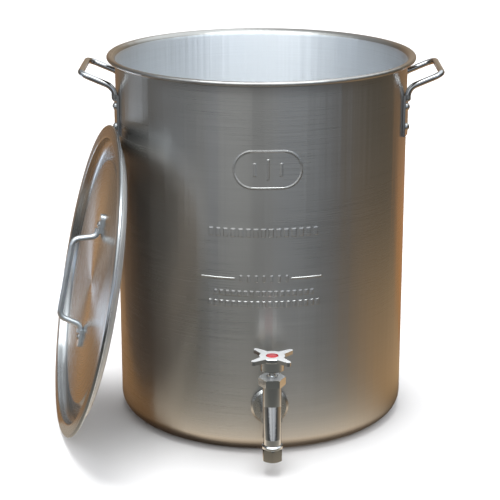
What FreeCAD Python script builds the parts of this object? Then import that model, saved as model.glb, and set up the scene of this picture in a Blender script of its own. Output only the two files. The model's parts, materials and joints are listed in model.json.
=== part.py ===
import FreeCAD, Part
import Sketcher
import os
from math import atan2, cos, degrees, radians, sin, sqrt
from FreeCAD import Placement, Rotation, Vector

# Brew kettle: an open stockpot with its lid leaning on its left side and a drain tap low on the front.
# Millimetres and degrees. Z is up, the base stands on z = 0, and the tap faces -Y.

SIZES = [
    # pot
    ("wall_radius", 163.0, "outside radius of the pot wall"),
    ("wall_sheet", 1.0, "thickness of the wall sheet"),
    ("base_sheet", 1.2, "thickness of the base"),
    ("base_corner", 18.0, "outside radius of the base corner"),
    ("pot_height", 412.5, "base to the top of the rim"),
    ("rim_radius", 172.25, "outside radius of the rolled rim"),
    ("rim_bead", 2.5, "radius of the rolled bead on the rim"),
    ("hole_play", 0.05, "radial clearance of rivets and screws in their holes"),
    # raised marks on the wall
    ("mark_relief", 0.5, "how far the raised marks stand out"),
    ("mark_turn", 1.2, "turn of the marks about the pot axis, from the front towards +X"),
    ("badge_turn", 2.6, "turn of the badge outline"),
    ("badge_height", 318.6, "height of the centre of the badge"),
    ("badge_width", 73.0, "outside width of the badge outline"),
    ("badge_tall", 41.0, "outside height of the badge outline"),
    ("badge_line", 1.6, "width of the badge line"),
    # pot handles
    ("leg_turn", 15.1, "angle between the handle's middle and each of its legs"),
    ("tab_gap", 0.05, "gap between a handle tab and the wall"),
    ("tab_sheet", 2.8, "thickness of a handle tab"),
    ("tab_width", 16.0, "width of a handle tab"),
    ("tab_bottom", 328.0, "height of the lower end of a tab"),
    ("tab_top", 374.0, "height of the upper end of a tab"),
    ("rod_radius", 3.4, "radius of the handle rod"),
    ("rod_start", 369.6, "height where the rod leaves the tab"),
    ("rod_bend_height", 372.0, "height where the rod starts to bend outwards"),
    ("rod_bend", 14.0, "bend radius of the rod above the tab"),
    ("rod_slope", 23.0, "rise of the handle loop above level"),
    ("grip_reach", 198.0, "distance of the grip from the pot axis"),
    ("grip_bend", 11.0, "bend radius at the corners of the grip"),
    ("rivet_low", 338.0, "height of the lower handle rivets"),
    ("rivet_high", 360.5, "height of the upper handle rivets"),
    ("rivet_head", 4.6, "radius of a handle rivet's round head"),
    ("rivet_dome", 3.2, "height of a handle rivet's round head"),
    ("rivet_shank", 2.5, "radius of a handle rivet's shank"),
    ("rivet_tail", 4.0, "radius of the flat tail inside the pot"),
    ("rivet_tail_sheet", 1.7, "thickness of the flat tail"),
    ("rivet_tail_gap", 0.1, "gap between a rivet's tail and the sheet"),
    # tap, body
    ("tap_turn", 3.4, "turn of the tap about the pot axis, from the front towards +X"),
    ("tap_reach", 205.0, "distance of the tap stem from the pot axis"),
    ("port_height", 56.6, "height of the hole through the pot wall"),
    ("column_radius", 10.2, "outside radius of the upright part of the valve body"),
    ("column_bottom", 38.0, "height of the underside of the upright part"),
    ("column_top", 96.0, "height of the top of the valve body"),
    ("chamber_radius", 7.65, "radius of the valve chamber"),
    ("seat_height", 48.0, "height of the valve seat"),
    ("seat_radius", 4.75, "radius of the hole in the seat"),
    ("port_radius", 6.0, "radius of the bore through the shank"),
    ("neck_radius", 11.0, "radius of the neck between flange and column"),
    ("neck_face", 168.5, "distance from the pot axis to the neck's shoulder"),
    ("shank_radius", 8.3, "radius of the shank through the wall"),
    ("shank_end", 150.0, "distance from the pot axis to the shank's end"),
    ("wall_hole_play", 0.7, "radial clearance of the shank in the wall"),
    # tap, spout
    ("spout_lean", 8.0, "how far the spout's end stands in front of the column"),
    ("spout_top", 76.0, "height where the spout starts to lean out"),
    ("spout_low", 40.0, "height where the spout turns upright again"),
    ("spout_root", 10.0, "radius of the spout at its top"),
    ("spout_radius", 9.4, "radius of the spout at its lower end"),
    ("collar_radius", 11.25, "radius of the collar above the outlet nut"),
    ("collar_bottom", 28.0, "height of the collar's underside"),
    ("collar_top", 33.0, "height of the collar's top"),
    ("collar_bevel", 1.2, "bevel of the collar"),
    ("outlet_radius", 5.5, "radius of the outlet bore"),
    ("outlet_depth", 31.0, "height of the inner end of the outlet bore"),
    ("passage_radius", 4.7, "radius of the passage below the seat"),
    ("passage_drop", 15.0, "height lost along the slanted passage"),
    ("passage_start", 45.0, "height of the upper end of the slanted passage"),
    ("tail_radius", 7.9, "radius of the threaded spout end"),
    ("tail_bottom", 18.05, "height of the threaded spout end's face"),
    ("nut_bottom", 15.0, "height of the outlet nut's underside"),
    ("nut_flats", 19.6, "outlet nut across its flats"),
    ("nut_lip", 1.5, "thickness of the outlet nut's lip"),
    # tap, fixing to the wall
    ("flange_radius", 20.5, "radius of the wall flange"),
    ("flange_sheet", 3.8, "thickness of the wall flange"),
    ("flange_bevel", 2.6, "bevel around the front of the wall flange"),
    ("gasket_radius", 19.0, "radius of the outer gasket"),
    ("fixing_radius", 14.0, "radius of the inner gasket and washer"),
    ("inner_gasket_face", 160.0, "distance from the pot axis to the inner gasket's flat side"),
    ("washer_sheet", 1.5, "thickness of the inner washer"),
    ("lock_nut_sheet", 6.0, "thickness of the lock nut"),
    ("lock_nut_flats", 24.0, "lock nut across its flats"),
    # tap, head
    ("fibre_sheet", 0.8, "thickness of the washer under the bonnet"),
    ("bonnet_flats", 25.0, "bonnet across its flats"),
    ("bonnet_top", 105.8, "height of the bonnet's top"),
    ("bonnet_skirt", 7.6, "radius of the bonnet's lower end"),
    ("bonnet_bottom", 84.0, "height of the bonnet's lower end"),
    ("hex_bevel", 1.4, "bevel on the corners of the nuts and the bonnet"),
    ("stem_room", 100.0, "height of the shoulder over the threaded part of the stem"),
    ("packing_floor", 101.2, "height of the floor of the packing space"),
    ("packing_radius", 5.3, "radius of the packing space"),
    ("packing_top", 103.6, "height of the packing ring's top"),
    ("gland_radius", 5.9, "radius of the packing nut's head"),
    ("gland_top", 108.6, "height of the packing nut's top"),
    ("gland_bevel", 0.6, "bevel of the packing nut's head"),
    ("running_play", 0.06, "radial clearance of a running fit"),
    ("seat_gap", 0.35, "gap left between the seat washer and the seat"),
    # moving parts of the tap
    ("thread_radius", 4.4, "radius of the threaded part of the stem"),
    ("stem_bottom", 54.4, "height of the stem's lower end"),
    ("thread_top", 94.0, "height where the stem gets thinner"),
    ("stem_radius", 3.5, "radius of the stem through the packing"),
    ("stem_shoulder", 115.8, "height of the shoulder under the handle"),
    ("stem_tip_radius", 3.0, "radius of the stem inside the handle"),
    ("stem_tip", 121.5, "height of the stem's upper end"),
    ("guide_radius", 2.0, "radius of the washer holder's guide rod"),
    ("guide_top", 64.0, "height of the guide rod's upper end"),
    ("guide_room", 1.0, "room above the guide rod, inside the stem"),
    ("holder_radius", 6.4, "radius of the washer holder"),
    ("holder_sheet", 2.4, "thickness of the washer holder"),
    ("seat_washer_radius", 6.2, "radius of the seat washer"),
    ("seat_washer_sheet", 3.2, "thickness of the seat washer"),
    ("seat_screw_radius", 1.45, "radius of the washer screw's shank"),
    ("seat_screw_head", 2.6, "radius of the washer screw's head"),
    ("seat_screw_head_sheet", 1.3, "height of the washer screw's head"),
    ("seat_screw_end", 53.2, "height of the washer screw's upper end"),
    ("seat_screw_room", 0.3, "room above the washer screw, inside the holder"),
    ("handle_top", 129.5, "height of the top of the cross handle"),
    ("handle_sheet", 4.2, "thickness of the handle's arms"),
    ("handle_turn", 37.5, "turn of the first arm from +X"),
    ("arm_reach", 25.4, "distance from the stem to the centre of an arm's round tip"),
    ("arm_tip", 2.7, "radius of an arm's round tip"),
    ("arm_root", 6.6, "half width of an arm at the stem's axis"),
    ("hub_radius", 13.8, "radius of the hub"),
    ("hub_bevel", 0.3, "bevel of the hub's upper edge"),
    ("hub_under_bevel", 0.5, "bevel of the hub's lower edge"),
    ("bell_waist", 13.2, "radius of the skirt just below the arms"),
    ("waist_drop", 0.6, "height of the step from the hub to the skirt"),
    ("bell_radius", 12.8, "radius of the skirt's lower edge"),
    ("bell_bottom", 114.6, "height of the skirt's lower edge"),
    ("bell_lip", 1.2, "height of the skirt's straight edge"),
    ("button_radius", 6.5, "radius of the index button"),
    ("button_floor", 127.3, "height of the recess under the index button"),
    ("button_sheet", 0.9, "thickness of the index button at its edge"),
    ("button_dome", 0.7, "extra height in the middle of the index button"),
    ("cap_screw_head", 4.3, "radius of the handle screw's head"),
    ("cap_screw_floor", 123.3, "height of the handle screw's seat"),
    ("cap_screw_top", 126.4, "height of the handle screw's top"),
    ("cap_screw_radius", 1.95, "radius of the handle screw's shank"),
    ("cap_screw_end", 112.5, "height of the handle screw's lower end"),
    ("cap_screw_bevel", 0.5, "bevel of the handle screw's head"),
    ("cap_socket_depth", 1.8, "depth of the handle screw's hexagon socket"),
    ("cap_play", 0.2, "radial clearance round the button and the handle screw's head"),
    ("cap_hole_floor", 111.5, "height of the bottom of the hole in the stem"),
    # lid
    ("lid_radius", 174.4, "outside radius of the lid"),
    ("lid_sheet", 1.0, "thickness of the lid sheet"),
    ("lid_bead", 2.0, "radius of the rolled bead on the lid"),
    ("plug_radius", 161.0, "outside radius of the part that enters the pot"),
    ("plug_corner", 8.0, "outside radius of the plug's lower corner"),
    ("plug_depth", 12.5, "depth of the plug's underside below the lid's top"),
    ("panel_drop", 7.0, "depth of the middle panel below the lid's top"),
    ("panel_radius", 136.0, "radius of the middle panel"),
    ("panel_step", 5.0, "width of the sloping step around the panel"),
    ("lid_azimuth", 192.2, "direction the leaning lid faces, from +X"),
    ("lid_lean", 11.65, "how far the lid leans back from upright"),
    ("lid_centre_x", -194.9, "centre of the lid's top, along X"),
    ("lid_centre_y", -81.6, "centre of the lid's top, along Y"),
    ("lid_floor_gap", 0.5, "height of the lid's lowest point"),
    ("lid_rod", 3.3, "radius of the lid handle's rod"),
    ("lid_grip_rise", 21.5, "height of the grip's centre line over the lid's top"),
    ("lid_grip_half", 45.0, "half length of the grip, to the middle of its legs"),
    ("lid_leg_half", 52.0, "half distance between the lower ends of the legs"),
    ("lid_foot_bend", 7.0, "bend radius between foot and leg"),
    ("lid_grip_bend", 9.0, "bend radius between leg and grip"),
    ("lid_foot_end", 78.0, "distance of a foot's end from the lid's centre"),
    ("lid_foot_start", 57.0, "distance of a foot's flattened part from the lid's centre"),
    ("lid_rod_run", 4.0, "how far the rod runs into a flattened foot"),
    ("lid_foot_sheet", 3.0, "thickness of a flattened foot"),
    ("lid_foot_width", 11.0, "width of a flattened foot"),
    ("lid_rivet_reach", 66.0, "distance of a lid rivet from the lid's centre"),
    ("lid_rivet_head", 4.0, "radius of a lid rivet's head"),
    ("lid_rivet_dome", 2.4, "height of a lid rivet's head"),
    ("lid_rivet_shank", 2.2, "radius of a lid rivet's shank"),
]

# Rows of plain raised marks: centre height, first and last turn from the front, number of marks,
# width and height of one mark.
MARK_ROWS = [
    (250.5, -20.0, 19.6, 15, 4.6, 8.6),
    (199.8, -8.6, 8.6, 7, 2.4, 7.0),
    (183.6, -18.4, 18.4, 17, 3.6, 5.4),
    (171.4, -20.6, 20.6, 19, 3.6, 6.4),
]

# Level lines beside the middle row: height, centre turn from the front, width, height of one line.
LEVEL_LINES = [
    (199.8, -17.6, 38.0, 1.6),
    (199.8, 16.2, 34.0, 1.6),
]

# Upright bars inside the badge: offset from its middle and length.
BADGE_BARS = [(-14.0, 14.0), (0.0, 22.0), (14.0, 14.0)]

# Heights between which the wall may carry marks, and width of a badge bar per badge line.
MARK_BAND = (120.0, 380.0)
BAR_SHARE = 1.5

HEX_SIDES = 6
ARMS = 4
FULL_TURN = 360.0
NEAR_ZERO = 1e-9
UPRIGHT = Vector(0, 0, 1)
TO_REAR = Rotation(Vector(1, 0, 0), -90)
TO_FRONT = Rotation(Vector(1, 0, 0), 90)
TO_RIGHT = Rotation(Vector(0, 1, 0), 90)

# Cutters for the wall start at this distance from the pot axis and are this long.
CUTTER_START = 140.0
CUTTER_REACH = 40.0
LID_CUTTER_START = -25.0

# How far a cutter runs past the face it opens, or one joined piece into the next.
OVERRUN = 1.0

# How far the blank of the outer gasket reaches behind the front of the wall.
GASKET_RUN = 4.0


class Size:
    """A number kept together with the sheet expression that gives it."""

    def __init__(self, value, text):
        self.value = float(value)
        self.text = text

    def __add__(self, other):
        other = as_size(other)
        return Size(self.value + other.value, "(%s + %s)" % (self.text, other.text))

    def __sub__(self, other):
        other = as_size(other)
        return Size(self.value - other.value, "(%s - %s)" % (self.text, other.text))

    def __mul__(self, other):
        other = as_size(other)
        return Size(self.value * other.value, "(%s * %s)" % (self.text, other.text))

    def __truediv__(self, other):
        other = as_size(other)
        return Size(self.value / other.value, "(%s / %s)" % (self.text, other.text))

    def __neg__(self):
        return Size(-self.value, "(0 - %s)" % self.text)


def as_size(item):
    """Give a plain number the same form as a named size."""
    if isinstance(item, Size):
        return item
    return Size(item, "(%r)" % float(item))


def size_sqrt(item):
    return Size(sqrt(item.value), "sqrt(%s)" % item.text)


def size_sin(item):
    return Size(sin(radians(item.value)), "sin(%s * 1 deg)" % item.text)


def size_cos(item):
    return Size(cos(radians(item.value)), "cos(%s * 1 deg)" % item.text)


def start_sheet():
    """Write the sizes into a spreadsheet and return them by name."""
    sheet = doc.addObject("Spreadsheet::Sheet", "Sizes")
    named = {}
    for row, (alias, value, meaning) in enumerate(SIZES, start=1):
        sheet.set("A%d" % row, meaning)
        sheet.set("B%d" % row, str(value))
        sheet.setAlias("B%d" % row, alias)
        named[alias] = Size(value, "Sizes.%s" % alias)
    doc.recompute()
    return named


def bind(feature, prop, size):
    """Set one property from a size and keep it bound to the sheet."""
    size = as_size(size)
    feature.setExpression(prop, size.text)


def base_plane(body, role):
    """Find one of a body's own origin planes."""
    for item in body.Origin.OriginFeatures:
        if item.Role == role:
            return item
    raise ValueError(role)


def arc_middle(start, end, radius, side):
    """Middle point of the short arc from start to end; side is +1 when it turns left."""
    middle = (start + end) * 0.5
    along = end - start
    half = along.Length / 2
    normal = Vector(-along.y, along.x, 0)
    normal.normalize()
    centre = middle + normal * side * sqrt(max(radius * radius - half * half, 0.0))
    outwards = middle - centre
    if outwards.Length < NEAR_ZERO:
        outwards = normal * -side
    outwards.normalize()
    return centre + outwards * radius


def pin_point(sketch, geometry, position, point, label):
    """Fix a sketch point at two bound distances from the origin."""
    for axis, size, kind in ((-2, point[0], "DistanceX"), (-1, point[1], "DistanceY")):
        size = as_size(size)
        if abs(size.value) < NEAR_ZERO:
            sketch.addConstraint(Sketcher.Constraint("PointOnObject", geometry, position, axis))
            continue
        constraint = Sketcher.Constraint(kind, -1, 1, geometry, position, size.value)
        index = sketch.addConstraint(constraint)
        name = "%s_%s" % (label, kind[-1].lower())
        sketch.renameConstraint(index, name)
        sketch.setExpression("Constraints.%s" % name, size.text)


def draw_chain(sketch, steps, closed):
    """Draw lines and arcs through the steps.

    A step is (x, y) for a line to that point, or (x, y, radius, side) for an arc to it.
    """
    count = len(steps)
    points = [Vector(as_size(step[0]).value, as_size(step[1]).value, 0) for step in steps]
    ends = []
    for index in range(count if closed else count - 1):
        target = (index + 1) % count
        start, end, step = points[index], points[target], steps[target]
        if len(step) == 2:
            number = sketch.addGeometry(Part.LineSegment(start, end), False)
            ends.append((number, 1, 2))
            continue
        radius = as_size(step[2])
        middle = arc_middle(start, end, radius.value, step[3])
        number = sketch.addGeometry(Part.Arc(start, middle, end), False)
        ends.append((number, 1, 2) if step[3] > 0 else (number, 2, 1))
    for index, (number, first, last) in enumerate(ends):
        pin_point(sketch, number, first, steps[index], "p%d" % index)
        following = (index + 1) % len(ends)
        if closed or index + 1 < len(ends):
            joined = ends[following]
            sketch.addConstraint(Sketcher.Constraint("Coincident", number, last, joined[0], joined[1]))
        step = steps[(index + 1) % count]
        if len(step) == 4:
            radius = as_size(step[2])
            place = sketch.addConstraint(Sketcher.Constraint("Radius", number, radius.value))
            sketch.renameConstraint(place, "r%d" % index)
            sketch.setExpression("Constraints.r%d" % index, radius.text)
    if not closed:
        number, first, last = ends[-1]
        pin_point(sketch, number, last, steps[-1], "last")


def new_body(name):
    return doc.addObject("PartDesign::Body", name)


def body_sketch(body, role, steps):
    """Closed outline on one of the body's origin planes."""
    sketch = body.newObject("Sketcher::SketchObject", "outline")
    sketch.AttachmentSupport = [(base_plane(body, role), "")]
    sketch.MapMode = "FlatFace"
    doc.recompute()
    draw_chain(sketch, steps, True)
    return sketch


def turned(name, steps):
    """Solid of revolution about Z from an outline of radius and height."""
    body = new_body(name)
    sketch = body_sketch(body, "XZ_Plane", steps)
    revolution = body.newObject("PartDesign::Revolution", "turning")
    revolution.Profile = sketch
    revolution.ReferenceAxis = (sketch, ["V_Axis"])
    revolution.Angle = FULL_TURN
    sketch.Visibility = False
    doc.recompute()
    return body


def ring(name, inner, outer, bottom, top):
    """Plain ring, or a disc when inner is zero."""
    return turned(name, [(inner, bottom), (outer, bottom), (outer, top), (inner, top)])


def drum(name, radius, length, base=Vector(), turn=Rotation(), place=Placement()):
    """Part cylinder with its size bound; base and turn are set inside place."""
    feature = doc.addObject("Part::Cylinder", name)
    bind(feature, "Radius", radius)
    bind(feature, "Height", length)
    feature.Placement = place.multiply(Placement(base, turn))
    return feature


def fused(name, features):
    feature = doc.addObject("Part::MultiFuse", name)
    feature.Shapes = features
    feature.Refine = True
    return feature


def common(name, features):
    feature = doc.addObject("Part::MultiCommon", name)
    feature.Shapes = features
    return feature


def minus(name, base, tool):
    feature = doc.addObject("Part::Cut", name)
    feature.Base = base
    feature.Tool = tool
    return feature


def group(name, features):
    feature = doc.addObject("Part::Compound", name)
    feature.Links = features
    return feature


def hexagon(name, flats, bottom, top):
    """Upright hexagonal prism with bevelled corners, a flat side towards the front."""
    prism = doc.addObject("Part::Prism", name + "_prism")
    prism.Polygon = HEX_SIDES
    corner = flats / size_sqrt(as_size(3.0))
    bind(prism, "Circumradius", corner)
    bind(prism, "Height", top - bottom)
    bind(prism, ".Placement.Base.z", bottom)
    bevel = s["hex_bevel"]
    drop = bevel / 2
    lens = turned(name + "_bevel", [
        (0, bottom), (corner - bevel, bottom), (corner, bottom + drop),
        (corner, top - drop), (corner - bevel, top), (0, top)])
    return common(name + "_hexagon", [prism, lens])


def swept(name, path, radius):
    """Round rod along an open sketch that begins with a straight line."""
    doc.recompute()
    start = path.Shape.OrderedVertexes[0].Point
    lead = path.Shape.OrderedEdges[0]
    circle = doc.addObject("Part::Circle", name + "_section")
    bind(circle, "Radius", radius)
    circle.Placement = Placement(start, Rotation(UPRIGHT, lead.tangentAt(lead.FirstParameter)))
    sweep = doc.addObject("Part::Sweep", name)
    sweep.Sections = [circle]
    edge_names = ["Edge%d" % number for number, edge in enumerate(path.Shape.Edges, start=1)]
    sweep.Spine = (path, edge_names)
    sweep.Solid = True
    return sweep


def path_sketch(name, steps, placement):
    """Open sketch for a swept rod."""
    sketch = doc.addObject("Sketcher::SketchObject", name)
    sketch.Placement = placement
    draw_chain(sketch, steps, False)
    return sketch


def rounded_corner(before, corner, after, bend):
    """Two tangent points of a bend at a corner, for corners given as pairs of sizes."""
    back = (before[0] - corner[0], before[1] - corner[1])
    ahead = (after[0] - corner[0], after[1] - corner[1])
    back_length = size_sqrt(back[0] * back[0] + back[1] * back[1])
    ahead_length = size_sqrt(ahead[0] * ahead[0] + ahead[1] * ahead[1])
    back = (back[0] / back_length, back[1] / back_length)
    ahead = (ahead[0] / ahead_length, ahead[1] / ahead_length)
    cosine = back[0] * ahead[0] + back[1] * ahead[1]
    cut = bend * size_sqrt((cosine + 1.0) / (as_size(1.0) - cosine))
    first = (corner[0] + back[0] * cut, corner[1] + back[1] * cut)
    last = (corner[0] + ahead[0] * cut, corner[1] + ahead[1] * cut)
    return first, last


# ---------------------------------------------------------------- placing

def about_axis(turn):
    return Placement(Vector(), Rotation(UPRIGHT, turn))


def on_tap(feature):
    """Move a feature drawn about the stem's axis to the tap's place, and bind that place."""
    feature.Placement = tap_place()
    across = s["tap_reach"] * size_sin(s["tap_turn"])
    along = -(s["tap_reach"] * size_cos(s["tap_turn"]))
    bind(feature, ".Placement.Base.x", across)
    bind(feature, ".Placement.Base.y", along)
    bind(feature, ".Placement.Rotation.Angle", s["tap_turn"])
    return feature


def tap_place():
    turn = s["tap_turn"].value
    reach = s["tap_reach"].value
    base = Vector(reach * sin(radians(turn)), -reach * cos(radians(turn)), 0)
    return Placement(base, Rotation(UPRIGHT, turn))


def lid_place():
    """Leaning pose of the lid, whose own Z points out of its top."""
    azimuth = radians(s["lid_azimuth"].value)
    lean = radians(s["lid_lean"].value)
    outwards = Vector(cos(azimuth), sin(azimuth), 0)
    across = Vector(-sin(azimuth), cos(azimuth), 0)
    up = UPRIGHT * cos(lean) - outwards * sin(lean)
    facing = outwards * cos(lean) + UPRIGHT * sin(lean)
    bead = s["lid_bead"].value
    edge = s["lid_radius"].value - bead
    height = s["lid_floor_gap"].value + bead + bead * sin(lean) + edge * cos(lean)
    centre = Vector(s["lid_centre_x"].value, s["lid_centre_y"].value, height)
    return Placement(centre, Rotation(across, up, facing, "ZXY"))


def on_lid(feature):
    feature.Placement = lid_place()
    return feature


# ---------------------------------------------------------------- pot

def mark_block(turn, offset, height, width, tall):
    """Block reaching through the wall at the given turn from the front."""
    block = doc.addObject("Part::Box", "mark")
    bind(block, "Length", width)
    bind(block, "Height", tall)
    block.Width = CUTTER_REACH
    corner = Vector(offset - width / 2, -CUTTER_START - CUTTER_REACH, height - tall / 2)
    block.Placement = about_axis(turn).multiply(Placement(corner, Rotation()))
    return block


def stadium(name, width, tall, turn, height):
    """Upright block with round ends, reaching through the wall."""
    radius = tall / 2
    straight = width.value - tall.value
    place = about_axis(turn)
    core = mark_block(turn, 0.0, height, straight, tall.value)
    ends = []
    for side in (-1, 1):
        base = Vector(side * straight / 2, -CUTTER_START, height)
        ends.append(drum(name + "_end", radius, as_size(CUTTER_REACH), base, TO_FRONT, place))
    return fused(name, [core] + ends)


def badge_outline():
    """Plain rounded outline with three upright bars inside."""
    turn = s["badge_turn"].value
    height = s["badge_height"].value
    line = s["badge_line"] * 2
    outer = stadium("badge_outer", s["badge_width"], s["badge_tall"], turn, height)
    inner = stadium("badge_inner", s["badge_width"] - line, s["badge_tall"] - line, turn, height)
    pieces = [minus("badge_ring", outer, inner)]
    for offset, length in BADGE_BARS:
        width = s["badge_line"].value * BAR_SHARE
        pieces.append(mark_block(turn, offset, height, width, length))
    return pieces


def row_marks():
    """Rows of plain marks and the two level lines."""
    pieces = []
    for height, first, last, number, width, tall in MARK_ROWS:
        for index in range(number):
            turn = first + (last - first) * index / (number - 1) + s["mark_turn"].value
            pieces.append(mark_block(turn, 0.0, height, width, tall))
    for height, turn, width, tall in LEVEL_LINES:
        pieces.append(mark_block(turn + s["mark_turn"].value, 0.0, height, width, tall))
    return pieces


def raised_marks():
    """All raised marks, as pads that stand out of the wall by the relief."""
    root = s["wall_radius"] - s["wall_sheet"] / 2
    bottom, top = MARK_BAND
    skin = ring("mark_skin", root, s["wall_radius"] + s["mark_relief"], as_size(bottom), as_size(top))
    blocks = group("mark_blocks", badge_outline() + row_marks())
    return common("marks", [skin, blocks])


def rivet_cutters(name, spots):
    """Level drums that cut rivet holes at the given turns and heights."""
    radius = s["rivet_shank"] + s["hole_play"]
    cutters = []
    for turn, height in spots:
        base = Vector(CUTTER_START, 0, height)
        cutters.append(drum(name, radius, as_size(CUTTER_REACH), base, TO_RIGHT, about_axis(turn)))
    return cutters


def make_pot_shell():
    """Drawn pot: base, corner, wall, flared mouth and rolled rim."""
    wall, sheet, corner = s["wall_radius"], s["wall_sheet"], s["base_corner"]
    floor = s["base_sheet"]
    bead = s["rim_bead"]
    bead_r = s["rim_radius"] - bead
    bead_z = s["pot_height"] - bead
    flare = bead_r - wall + sheet
    flare_z = s["pot_height"] - flare
    shell = turned("shell", [
        (0, 0), (wall - corner, 0), (wall, corner, corner, 1),
        (wall, flare_z), (bead_r - bead, bead_z, flare - sheet, -1),
        (bead_r, bead_z - bead, bead, 1), (bead_r + bead, bead_z, bead, 1),
        (bead_r, bead_z + bead, bead, 1), (wall - sheet, flare_z, flare, 1),
        (wall - sheet, corner - sheet + floor),
        (wall - corner, floor, corner - sheet, -1), (0, floor)])
    whole = fused("marked_shell", [shell, raised_marks()])
    base = Vector(0, -CUTTER_START, s["port_height"].value)
    radius = s["shank_radius"] + s["wall_hole_play"]
    place = about_axis(s["tap_turn"].value)
    tap_hole = drum("tap_hole", radius, as_size(CUTTER_REACH), base, TO_FRONT, place)
    cutters = rivet_cutters("rivet_hole", rivet_spots())
    return minus("pot_shell", whole, group("pot_holes", cutters + [tap_hole]))


# ---------------------------------------------------------------- pot handles

def leg_turns():
    """Turn of each handle leg from +X: right front, right rear, left rear, left front."""
    turn = s["leg_turn"].value
    return [-turn, turn, 180 - turn, 180 + turn]


def rivet_spots():
    """Turn and height of every pot handle rivet."""
    heights = (s["rivet_low"].value, s["rivet_high"].value)
    return [(turn, height) for turn in leg_turns() for height in heights]


def handle_tab(turn):
    """Flat tab of one leg with its two rivet holes."""
    face = s["wall_radius"] + s["tab_gap"]
    box = doc.addObject("Part::Box", "tab")
    bind(box, "Length", s["tab_sheet"])
    bind(box, "Width", s["tab_width"])
    bind(box, "Height", s["tab_top"] - s["tab_bottom"])
    corner = Vector(face.value, -s["tab_width"].value / 2, s["tab_bottom"].value)
    box.Placement = about_axis(turn).multiply(Placement(corner, Rotation()))
    return box


def handle_rail(side):
    """Rod from the tab upwards and out to the slope of the loop; side is -1 at the front."""
    start = s["wall_radius"] + s["tab_gap"] + s["rod_radius"]
    reach = start * size_cos(s["leg_turn"])
    across = start.value * sin(radians(s["leg_turn"].value)) * side
    bend = s["rod_bend"]
    slope = s["rod_slope"]
    end_x = reach + bend - bend * size_sin(slope)
    end_z = s["rod_bend_height"] + bend * size_cos(slope)
    place = Placement(Vector(0, across, 0), TO_FRONT)
    path = path_sketch("rail_path", [
        (reach, s["rod_start"]), (reach, s["rod_bend_height"]), (end_x, end_z, bend, -1)], place)
    ball = doc.addObject("Part::Sphere", "rail_end")
    bind(ball, "Radius", s["rod_radius"])
    ball.Placement = Placement(Vector(reach.value, across, s["rod_start"].value), Rotation())
    return [swept("rail", path, s["rod_radius"]), ball]


def handle_loop():
    """Sloping loop: out along one rail, across the grip and back along the other rail."""
    start = s["wall_radius"] + s["tab_gap"] + s["rod_radius"]
    half = start * size_sin(s["leg_turn"])
    slope = s["rod_slope"]
    bend = s["rod_bend"]
    near_x = start * size_cos(s["leg_turn"]) + bend - bend * size_sin(slope)
    near_z = s["rod_bend_height"] + bend * size_cos(slope)
    length = (s["grip_reach"] - near_x) / size_cos(slope)
    corner = s["grip_bend"]
    place = Placement(Vector(near_x.value, 0, near_z.value), Rotation(Vector(0, 1, 0), -slope.value))
    path = path_sketch("loop_path", [
        (0, -half), (length - corner, -half), (length, corner - half, corner, 1),
        (length, half - corner), (length - corner, half, corner, 1), (0, half)], place)
    return swept("loop", path, s["rod_radius"])


def make_right_handle():
    right_legs = leg_turns()[:2]
    pieces = [handle_tab(turn) for turn in right_legs]
    for side in (-1, 1):
        pieces += handle_rail(side)
    pieces.append(handle_loop())
    whole = fused("handle_whole", pieces)
    spots = [spot for spot in rivet_spots() if spot[0] in right_legs]
    return minus("right_handle", whole, group("tab_holes", rivet_cutters("tab_hole", spots)))


def make_left_handle(right_handle):
    mirror = doc.addObject("Part::Mirroring", "left_handle")
    mirror.Source = right_handle
    mirror.Normal = Vector(1, 0, 0)
    mirror.Base = Vector(0, 0, 0)
    return mirror


def rivet(name, head, dome, shank, grip, tail, tail_sheet):
    """Rivet with a low round head above z = 0 and a flat tail below its grip."""
    rise = (head * head + dome * dome) / (dome * 2)
    below = -(grip + tail_sheet)
    return turned(name, [
        (0, below), (tail, below), (tail, -grip), (shank, -grip), (shank, 0),
        (head, 0), (0, dome, rise, 1)])


def make_handle_rivets():
    grip = s["tab_sheet"] + s["tab_gap"] + s["wall_sheet"] + s["rivet_tail_gap"]
    outside = s["wall_radius"].value + s["tab_gap"].value + s["tab_sheet"].value
    rivets = []
    for turn, height in rivet_spots():
        piece = rivet("handle_rivet", s["rivet_head"], s["rivet_dome"], s["rivet_shank"],
                      grip, s["rivet_tail"], s["rivet_tail_sheet"])
        seat = Placement(Vector(outside, 0, height), TO_RIGHT)
        piece.Placement = about_axis(turn).multiply(seat)
        rivets.append(piece)
    return group("handle_rivets", rivets)


# ---------------------------------------------------------------- tap, fixed pieces
# Everything here is drawn about the stem's axis, with the pot towards +Y.

def level_drum(name, radius, near, far):
    """Level cylinder at port height between two distances from the pot axis."""
    base = Vector(0, s["tap_reach"].value - far.value, s["port_height"].value)
    return drum(name, radius, far - near, base, TO_REAR)


def level_ring(name, inner, outer, near, far):
    disc = level_drum(name + "_disc", outer, near, far)
    return minus(name, disc, level_drum(name + "_bore", inner, near, far))


def pot_drum(name, radius):
    """Upright cylinder about the pot's axis, seen from the tap."""
    return drum(name, radius, s["pot_height"], Vector(0, s["tap_reach"].value, 0))


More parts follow.
